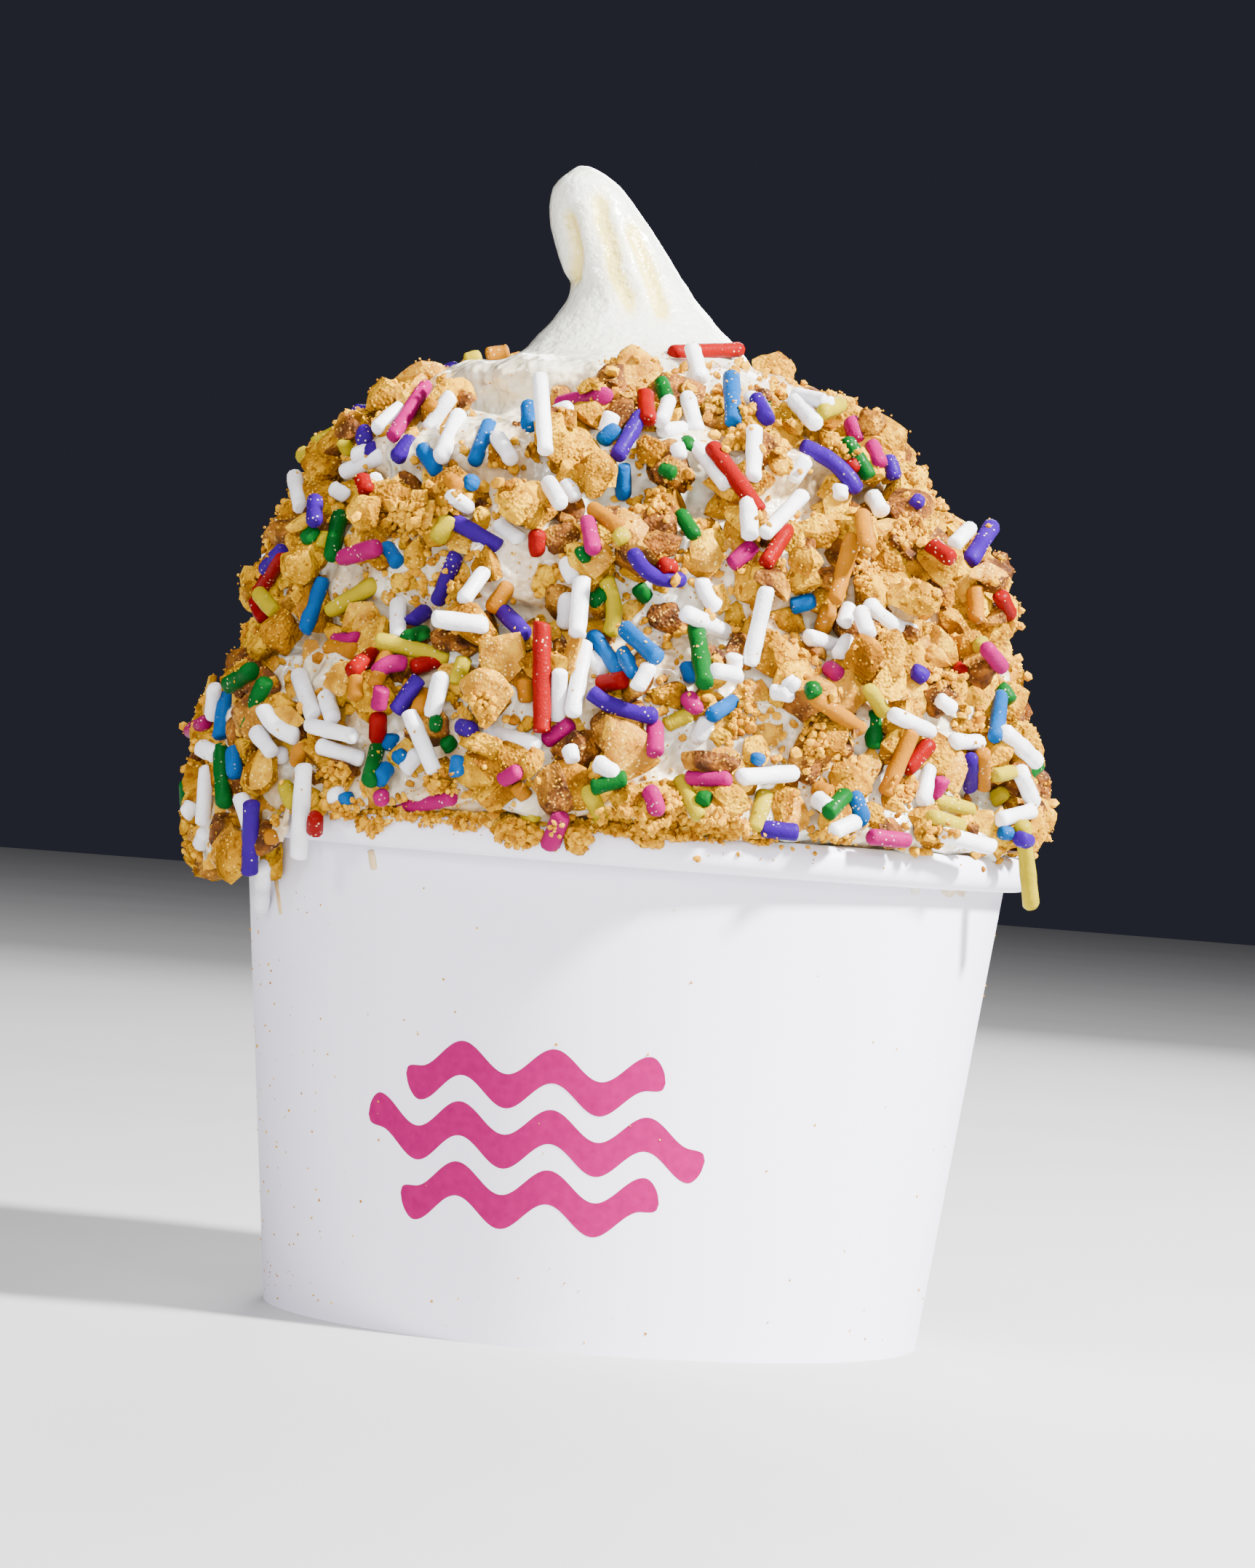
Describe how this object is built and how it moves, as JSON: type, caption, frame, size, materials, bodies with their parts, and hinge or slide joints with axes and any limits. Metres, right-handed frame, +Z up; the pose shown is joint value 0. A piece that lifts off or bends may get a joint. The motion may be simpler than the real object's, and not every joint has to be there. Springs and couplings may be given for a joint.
{
  "type": "cup of soft serve ice cream",
  "caption": "Vanilla soft serve swirled high in a white paper cup, with a bent peak, coated in sugar sprinkles and crushed nutty crumbs.",
  "frame": {"origin": "on the cup's axis, at the level of the foot ring that it stands on", "axes": "+Z up along the cup's axis; -Y is the side that the picture shows; +X is to the right in the picture, and the peak leans towards -X"},
  "size_m": [0.1, 0.1001, 0.1348],
  "materials": {
    "cup_paper": "satin",
    "soft_serve": "satin"
  },
  "bodies": {
    "root": {"cup_wall": "cup_paper", "cup_bottom": "cup_paper", "ice_cream": "soft_serve"}
  },
  "joints": []
}
